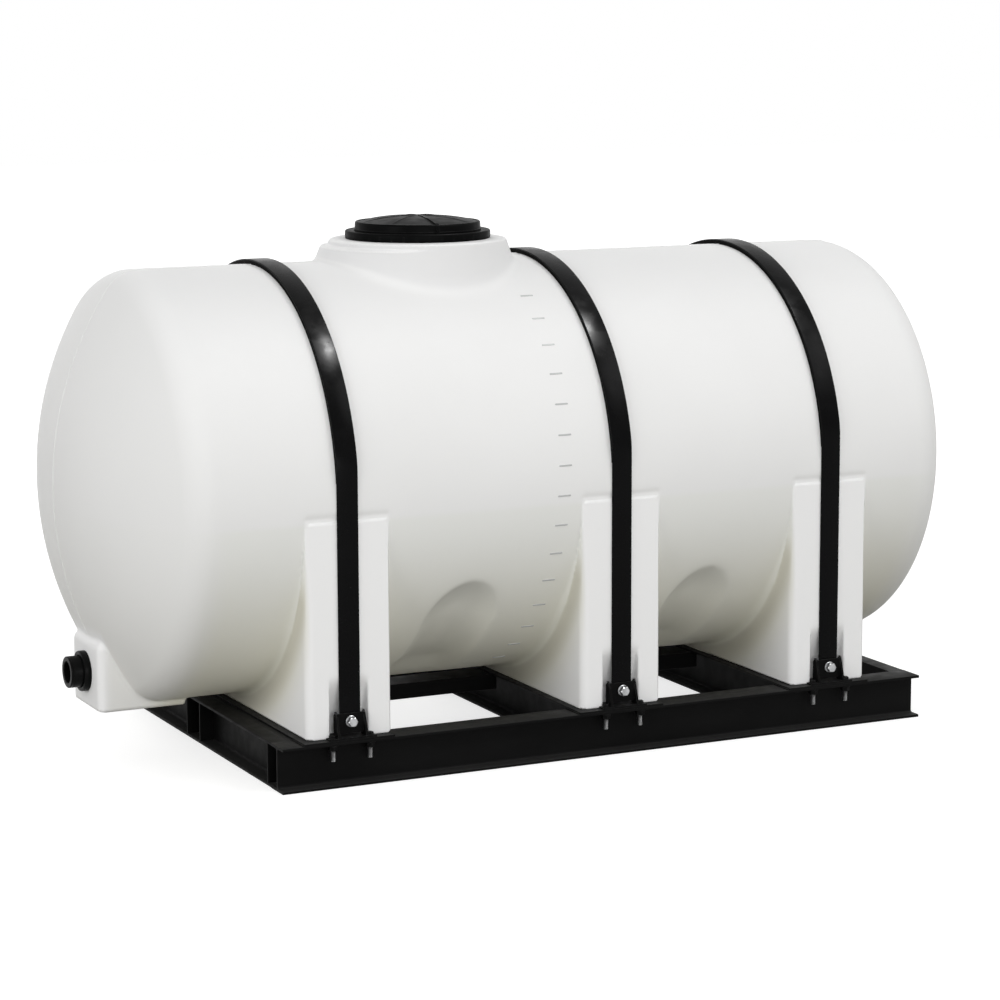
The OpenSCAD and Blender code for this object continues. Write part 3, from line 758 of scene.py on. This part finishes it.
def band_path():
    """Inside face of a band over its pad, front to back, as (y, z, outward y, outward z)."""
    points = []
    outer = TANK_R + PAD_T
    for i in range(181):
        t = math.radians(i)
        y = float(smin(np.array(outer * abs(math.cos(t))), np.array(TANK_R), 5.0))
        points.append((-math.copysign(y, math.cos(t)), AXIS_Z + outer * math.sin(t)))
    rows = []
    for i, (y, z) in enumerate(points):
        (ya, za), (yb, zb) = points[max(i - 1, 0)], points[min(i + 1, 180)]
        size = math.hypot(yb - ya, zb - za)
        rows.append((y, z, -(zb - za) / size, (yb - ya) / size))
    return rows


def bands():
    edge = (arc(-1, 1, 1, 180, 270, 2) + arc(1, 1, 1, 270, 360, 2)
            + arc(0.6, BAND_T - 1.4, 1.4, 0, 90, 4) + arc(-0.6, BAND_T - 1.4, 1.4, 90, 180, 4))
    rows = band_path()
    pads = Shape()
    for i in (1, 2, 3):
        lo, hi = span(f"band_{i}")
        cx, half = (lo[0] + hi[0]) / 2, (hi[0] - lo[0]) / 2
        upright = np.linspace(lo[2], AXIS_Z - 12, 12)
        path = ([(-TANK_R, z, -1, 0) for z in upright] + rows
                + [(TANK_R, z, 1, 0) for z in upright[::-1]])
        shape = Shape()
        for_edge = [(u + math.copysign(half - 2, u), v) for u, v in edge]
        shape.sweep([[(cx + u, y + ny * v, z + nz * v) for u, v in for_edge]
                     for y, z, ny, nz in path])
        shape.piece(f"strap_{i}", BAND, "band_steel", f"band_{i}", smooth_angle=50)
        x0, x1 = cx - half + 0.6, cx + half - 0.6
        inner, sections = TANK_R - 1, []
        for k in range(PAD_END, 181 - PAD_END):
            y, z = rows[k][:2]
            c, s = math.cos(math.radians(k)), math.sin(math.radians(k))
            low, high = (-inner * c, AXIS_Z + inner * s), (y + 0.3 * c, z - 0.3 * s)
            sections.append([(x0, *low), (x1, *low), (x1, *high), (x0, *high)])
        pads.sweep(sections)
    pads.piece("strap_pads", RUBBER, "pad_rubber", "band_pads", bevel=0.6)


# ---------------------------------------------------------------- brackets, bolts, studs
FOOT_LO, FOOT_HI = span("bracket_front_1")
SKID_Y = -FOOT_LO[1]
PLATE_TOP = FOOT_LO[2]
FOOT_T = 5.0
FOOT_TOP = PLATE_TOP + FOOT_T
FOOT_HALF = (FOOT_HI[0] - FOOT_LO[0]) / 2
CHEEK, CHEEK_T, CHEEK_H = 44.0, 6.0, FOOT_HI[2] - FOOT_TOP
CHEEK_SLOPE, CHEEK_BACK, CHEEK_ROUND = 17.0, 601.0, 14.0
CLAMP_ROUND = 16.0
CLAMP_Y = TANK_R + 4.0
BOLT_Z = FOOT_TOP + 42.0
STUD_X, STUD_Y, STUD_R = 55.0, SKID_Y - 15.0, 8.0
UNDER_FLANGE = span("beam_front")[1][2] - 8.0


def bracket(cx, side):
    """Foot, pad under it, two cheeks and the clamp plate across them."""
    shape = Shape()

    def slab(half, y0, y1, z0, z1):
        y0, y1 = sorted((side * y0, side * y1))
        shape.box((cx - half, y0, z0), (cx + half, y1, z1))

    slab(FOOT_HALF, 610.0, SKID_Y, PLATE_TOP, FOOT_TOP)
    slab(53, 566.0, 612.0, PLATE_TOP, FOOT_TOP - 0.2)
    top = FOOT_TOP + CHEEK_H
    front = SKID_Y - CHEEK_SLOPE - CHEEK_ROUND
    cheek = [(CHEEK_BACK, FOOT_TOP), (SKID_Y - 1, FOOT_TOP), (SKID_Y - 1, FOOT_TOP + 6)]
    cheek += [round_off(front, top - CHEEK_ROUND, a, CHEEK_ROUND) for a in (8, 25, 42, 60, 75, 90)]
    cheek += [(CHEEK_BACK + 10, top), (CHEEK_BACK, top - 10)]
    for x in (-CHEEK, CHEEK - CHEEK_T):
        shape.prism([(side * y, z) for y, z in cheek], "x", cx + x, cx + x + CHEEK_T)
    r, half, low = CLAMP_ROUND, CHEEK - 2, FOOT_TOP + 8
    plate = (arc(cx - half + r, low + r, r, 180, 270, 6)
             + arc(cx + half - r, low + r, r, 270, 360, 6)
             + [(cx + half, top - 4), (cx - half, top - 4)])
    shape.prism(plate, "y", *sorted((side * CLAMP_Y, side * (CLAMP_Y + CHEEK_T))))
    return shape


def brackets():
    for i, cx in enumerate(LEG_X, 1):
        for side, word in zip(FRONT_AND_BACK, ("front", "back")):
            bracket(cx, side).piece(f"clamp_{word}_{i}", BRACKET, "bracket_steel",
                                    f"bracket_{word}_{i}", bevel=1.3, segments=3)


def hexagon(shape, centre, across, axis, a, b, chamfer, turn=0.0):
    """A hexagon head or nut from a to b, with its outer corners turned down at b."""
    corner_r = across / math.sqrt(3)
    sides, rings = 36, []
    for w, last in ((a, False), (b - chamfer * (1 if b > a else -1), False), (b, True)):
        ring = []
        for j in range(sides):
            t = 2 * math.pi * j / sides
            flat = across / 2 / math.cos((t - turn + math.pi / 6) % (math.pi / 3) - math.pi / 6)
            limit = across / 2 + (corner_r - across / 2) * (0.15 if last else 1.0)
            r = min(flat, limit) - (1.2 if last else 0.0)
            u, v = centre[0] + r * math.cos(t), centre[1] + r * math.sin(t)
            ring.append({"y": (u, w, v), "z": (u, v, w)}[axis])
        rings.append(ring)
    shape.sweep(rings)


def bolt(shape, cx, side):
    """Washer, head, shank and inner nut of the bolt through a clamp plate."""
    centre, near = (cx, BOLT_Z), CLAMP_Y + CHEEK_T
    washer = [(9, near), (14.9, near), (15.7, near + 0.8), (15.7, near + 3.2), (14.9, near + 4),
              (9, near + 4)]
    shape.lathe([(r, side * h) for r, h in washer], about_y(*centre), 48)
    hexagon(shape, centre, 25, "y", side * (near + 3.9), side * (SKID_Y + 2.0), 2.4, math.pi / 6)
    shape.disc(centre, 10, "y", *sorted((side * (TANK_R - 30), side * (near + 5))), 32)
    hexagon(shape, centre, 30, "y", side * (TANK_R - 2), side * (TANK_R - 16), 2.0)


def stud(shape, centre):
    """Threaded end of a stud, under the beam's flange."""
    low, turns, pitch = UNDER_FLANGE - 46.0, 14, 2.2
    thread = [(0.01, low), (STUD_R - 1.6, low), (STUD_R - 0.2, low + 1.6)]
    for j in range(turns):
        z = low + 3 + j * pitch
        thread += [(STUD_R - 0.9, z), (STUD_R, z + pitch / 2)]
    thread += [(STUD_R - 0.3, UNDER_FLANGE), (0.01, UNDER_FLANGE)]
    shape.lathe(thread, about_z(*centre), 24)


def stud_nuts(shape, centre):
    """Washer and nut under the flange, and a smaller pair on the bracket's foot."""
    shape.disc(centre, 15, "z", UNDER_FLANGE - 3, UNDER_FLANGE + 0.2, 32)
    hexagon(shape, centre, 24, "z", UNDER_FLANGE - 2.9, UNDER_FLANGE - 15, 1.6)
    shape.disc(centre, 10.5, "z", FOOT_TOP - 0.2, FOOT_TOP + 2.4, 28)
    hexagon(shape, centre, 18, "z", FOOT_TOP + 2.3, FOOT_TOP + 8.0, 1.6)


def fasteners():
    bolts, studs, nuts = Shape(), Shape(), Shape()
    for cx in LEG_X:
        for side in FRONT_AND_BACK:
            bolt(bolts, cx, side)
            for k in (-1, 1):
                centre = (cx + k * STUD_X, side * STUD_Y)
                stud(studs, centre)
                stud_nuts(nuts, centre)
    bolts.piece("clamp_bolts", ZINC, "zinc_fasteners", "tension_bolts", smooth_angle=28)
    studs.piece("stud_bolts", STUD, "zinc_fasteners", "plate_studs", smooth_angle=28)
    nuts.piece("stud_nuts", BRACKET, "bracket_steel", bevel=0.5)


# ---------------------------------------------------------------- skid
FLANGE_T, WEB_T, ROOT_R, TOE_R = 8.0, 6.0, 7.0, 2.0


def flange_edge(reach):
    """Half of a rolled section: along the flange, round its toe and into the web."""
    toe = FLANGE_T - TOE_R
    return ([(0, 0)] + arc(reach - TOE_R, TOE_R, TOE_R, -90, 0, 2)
            + arc(reach - TOE_R, toe, TOE_R, 0, 90, 3))


def root(web):
    return arc(web + ROOT_R, FLANGE_T + ROOT_R, ROOT_R, 270, 180, 5)


def i_section(cy, half, z1):
    """Rolled I section with rounded roots and toes, as (y, z)."""
    low = flange_edge(half) + root(WEB_T / 2)
    right = low + [(y, z1 - z) for y, z in low[::-1]]
    left = [(-y, z) for y, z in right[-2:0:-1]]
    return [(cy + y, z) for y, z in right + left]


def channel_section(back, way, depth, z1):
    """Rolled channel, as (x, z): its back at back, its flanges pointing along way."""
    low = flange_edge(depth) + root(WEB_T)
    return [(back + way * u, v) for u, v in low + [(u, z1 - v) for u, v in low[::-1]]]


CHANNELS = [("end_channel_left", -1), ("cross_channel_1", -1), ("cross_channel_2", -1),
            ("cross_channel_3", -1), ("end_channel_right", 1)]


def beams():
    for word in ("front", "back"):
        lo, hi = span(f"beam_{word}")
        shape = Shape()
        outline = i_section((lo[1] + hi[1]) / 2, (hi[1] - lo[1]) / 2, hi[2])
        shape.prism(outline, "x", lo[0], hi[0])
        shape.piece(f"long_beam_{word}", SKID, "skid_steel", f"beam_{word}", smooth_angle=40)


def channels():
    for node, way in CHANNELS:
        lo, hi = span(node)
        shape = Shape()
        back = hi[0] if way < 0 else lo[0]
        outline = channel_section(back, way, hi[0] - lo[0], hi[2])
        shape.prism(outline, "y", lo[1] - 1, hi[1] + 1)
        shape.piece(f"rolled_{node}", SKID, "skid_steel", node, smooth_angle=40)


def base_plates():
    for i in (1, 2, 3):
        shape = Shape()
        shape.box(*span(f"leg_plate_{i}"))
        shape.piece(f"base_plate_{i}", SKID, "skid_steel", f"leg_plate_{i}", bevel=0.9)


def stringer():
    """The part under the tank's middle, in three lengths between the cross channels."""
    lo, hi = span("centre_stringer")
    half, z0, z1 = (hi[1] - lo[1]) / 2, lo[2], hi[2]
    wall, roof = half - WEB_T, z1 - FLANGE_T
    hat = [(-half, z0), (-wall, z0), (-wall, roof), (wall, roof), (wall, z0), (half, z0),
           (half, z1), (-half, z1)]
    channel = 50.0                               # reach of a cross channel's flanges
    x1, x2 = span("cross_channel_2")[1][0], span("cross_channel_3")[1][0]
    shape = Shape()
    for start, end in ((lo[0], x1 - channel), (x1, x2 - channel), (x2, hi[0])):
        shape.prism(hat, "x", start, end)
    shape.piece("stringer", SKID, "skid_steel", "centre_stringer", bevel=1.5, segments=3)


def end_stiffeners():
    """Plates in the left end channel: one at each end, and a pair behind the sump."""
    lo, hi = span("channel_stiffeners")
    side, middle, pair = hi[1] - WEB_T / 2, 66.0, 53.0
    shape = Shape()
    for y in (-side, middle - pair, middle + pair, side):
        shape.box((lo[0], y - WEB_T / 2, lo[2]), (hi[0], y + WEB_T / 2, hi[2]))
    shape.piece("end_stiffeners", SKID, "skid_steel", "channel_stiffeners", bevel=0.8)


def weld_runs():
    """Both ends of every weld, and the way that it faces."""
    top = span("beam_front")[1][2]
    runs = []
    for cx in LEG_X:
        for side in FRONT_AND_BACK:
            y0, y1, z = side * (SKID_Y - 86), side * (SKID_Y - 6), top + 0.5
            for x, k in ((cx - LEG_HW - 21, -1), (cx + LEG_HW + 1, 1)):      # leg plate
                runs.append(((x, y0, z), (x, y1, z), (k, 0, 1)))
            y0, y1, z = side * 612, side * (SKID_Y - 4), FOOT_TOP + 0.4
            for k in (-1, 1):                    # cheeks on the bracket's foot
                x = cx + k * (CHEEK + 0.8)
                runs.append(((x, y0, z), (x, y1, z), (k, 0, 1)))
    for node, way in CHANNELS:
        lo, hi = span(node)
        x = (hi[0] if way < 0 else lo[0]) - way * 0.5
        for side in FRONT_AND_BACK:
            y = side * (hi[1] + 40.5)            # on the beam's web
            runs.append(((x, y, FLANGE_T + 6), (x, y, top - FLANGE_T - 6), (-way, -side, 0)))
    return runs


def weld_beads():
    """Fillet welds: rows of small overlapping ripples where plates and sections meet."""
    sides, step, flat = 8, 2.0, 0.9
    shape = Shape()
    for a, b, out in weld_runs():
        a, b, out = Vector(a), Vector(b), Vector(out).normalized()
        across = (b - a).normalized().cross(out)
        n = max(4, int((b - a).length / step))
        rings = []
        for j in range(n + 1):
            r = 3.0 + 0.35 * math.sin(j * 2.1) + 0.2 * math.sin(j * 0.73)
            if j in (0, n):
                r = 1.0
            centre = a + (b - a) * (j / n)
            rings.append([tuple(centre + across * r * math.cos(t) + out * r * math.sin(t) * flat)
                          for t in (2 * math.pi * k / sides for k in range(sides))])
        shape.sweep(rings)
    shape.piece("welds", SKID, "skid_steel", smooth_angle=60)


skins()
parting_line()
level_marks()
manway_ring()
manway_lid()
drain()
bands()
brackets()
fasteners()
beams()
channels()
base_plates()
stringer()
end_stiffeners()
weld_beads()


# ---------------------------------------------------------------- stage, light, camera
def nodes_in(tree, *kinds):
    return [tree.nodes.new("ShaderNode" + kind) for kind in kinds]


def is_shown_white(tree):
    """1 for camera, glossy and transmission rays."""
    path, = nodes_in(tree, "LightPath")
    total = path.outputs["Is Camera Ray"]
    for name in ("Is Glossy Ray", "Is Transmission Ray"):
        node, = nodes_in(tree, "Math")
        node.operation = "MAXIMUM"
        tree.links.new(total, node.inputs[0])
        tree.links.new(path.outputs[name], node.inputs[1])
        total = node.outputs[0]
    return total


def mix_shown(tree, hidden, shown, out):
    """Sends out one shader to the eye and another to the light that bounces."""
    mix, = nodes_in(tree, "MixShader")
    tree.links.new(is_shown_white(tree), mix.inputs[0])
    tree.links.new(hidden.outputs[0], mix.inputs[1])
    tree.links.new(shown.outputs[0], mix.inputs[2])
    tree.links.new(mix.outputs[0], out.inputs[0])


def floor():
    """A pale floor that looks white, keeps the tank's shadow and bounces little light."""
    mesh = bpy.data.meshes.new("floor")
    s = 30.0
    mesh.from_pydata([(-s, -s, 0), (s, -s, 0), (s, s, 0), (-s, s, 0)], [], [(0, 1, 2, 3)])
    obj = bpy.data.objects.new("floor", mesh)
    bpy.context.scene.collection.objects.link(obj)
    material = bpy.data.materials.new("floor")
    material.use_nodes = True
    tree = material.node_tree
    tree.nodes.clear()
    out, dull, pale, glow = nodes_in(tree, "OutputMaterial", "BsdfDiffuse", "BsdfDiffuse",
                                     "Emission")
    dull.inputs["Color"].default_value = (0.24, 0.235, 0.215, 1)
    pale.inputs["Color"].default_value = (0.5, 0.5, 0.5, 1)
    glow.inputs["Color"].default_value = (1, 1, 1, 1)
    # the glow grows from the tank outwards, where the lamps' light falls off
    place, size, far = nodes_in(tree, "NewGeometry", "VectorMath", "MapRange")
    size.operation = "LENGTH"
    for socket, value in zip(("From Min", "From Max", "To Min", "To Max"), (1.8, 5.0, 0.70, 1.0)):
        far.inputs[socket].default_value = value
    tree.links.new(place.outputs["Position"], size.inputs[0])
    tree.links.new(size.outputs["Value"], far.inputs["Value"])
    tree.links.new(far.outputs["Result"], glow.inputs["Strength"])
    both, = nodes_in(tree, "AddShader")
    tree.links.new(pale.outputs[0], both.inputs[0])
    tree.links.new(glow.outputs[0], both.inputs[1])
    mix_shown(tree, dull, both, out)
    mesh.materials.append(material)


def world(light):
    """White to the eye, and a soft light of the given strength for everything else."""
    w = bpy.data.worlds.new("studio")
    bpy.context.scene.world = w
    w.use_nodes = True
    tree = w.node_tree
    tree.nodes.clear()
    out, soft, white = nodes_in(tree, "OutputWorld", "Background", "Background")
    for node, strength in ((soft, light), (white, 1.0)):
        node.inputs["Color"].default_value = (1, 1, 1, 1)
        node.inputs["Strength"].default_value = strength
    mix_shown(tree, soft, white, out)


def lamp(name, azimuth, elevation, distance, width, height, watts):
    """A soft area lamp aimed at the tank. Azimuth 0 is the front (-Y), 90 the right (+X)."""
    a, e = math.radians(azimuth), math.radians(elevation)
    data = bpy.data.lights.new(name, "AREA")
    data.shape, data.size, data.size_y, data.energy = "RECTANGLE", width, height, watts
    obj = bpy.data.objects.new(name, data)
    bpy.context.scene.collection.objects.link(obj)
    out = Vector((math.sin(a) * math.cos(e), -math.cos(a) * math.cos(e), math.sin(e)))
    obj.location = Vector((0, 0, AXIS_Z * MM)) + out * distance
    obj.rotation_mode = "QUATERNION"
    obj.rotation_quaternion = (-out).to_track_quat("-Z", "Y")
    return obj


def camera():
    """The photo's view, as fitted to the skid's edges, the bands and the tank's outline."""
    place = (-3.8963, -8.1060, 2.1280)
    yaw, pitch, roll = (math.radians(v) for v in (25.772, 9.362, -0.187))
    level = math.cos(pitch)
    forward = Vector((math.sin(yaw) * level, math.cos(yaw) * level, -math.sin(pitch)))
    right = Vector((math.cos(yaw), -math.sin(yaw), 0))
    up = right.cross(forward)
    rolled_right = right * math.cos(roll) + up * math.sin(roll)
    rolled_up = up * math.cos(roll) - right * math.sin(roll)
    data = bpy.data.cameras.new("camera")
    data.sensor_width, data.lens = 36.0, 109.857
    data.clip_end = 100
    obj = bpy.data.objects.new("camera", data)
    bpy.context.scene.collection.objects.link(obj)
    turn = Matrix((rolled_right, rolled_up, -forward)).transposed().to_4x4()
    obj.matrix_world = Matrix.Translation(place) @ turn
    bpy.context.scene.camera = obj


floor()
world(0.557)
lamp("left", -70, 14, 7.0, 4.0, 2.5, 112)
lamp("right", 45, 40, 7.0, 4.0, 2.5, 110)
back = lamp("back", 180, 25, 7.0, 4.0, 2.5, 204)
back.visible_glossy = False
lamp("low", -10, 6, 7.0, 4.0, 2.0, 108)
strip = lamp("strip", 46, 67, 5.7, 0.9, 0.5, 430)
strip.visible_diffuse = False                # it only shows in the bands, as a short bright patch
camera()
bpy.context.scene.view_settings.view_transform = "Standard"
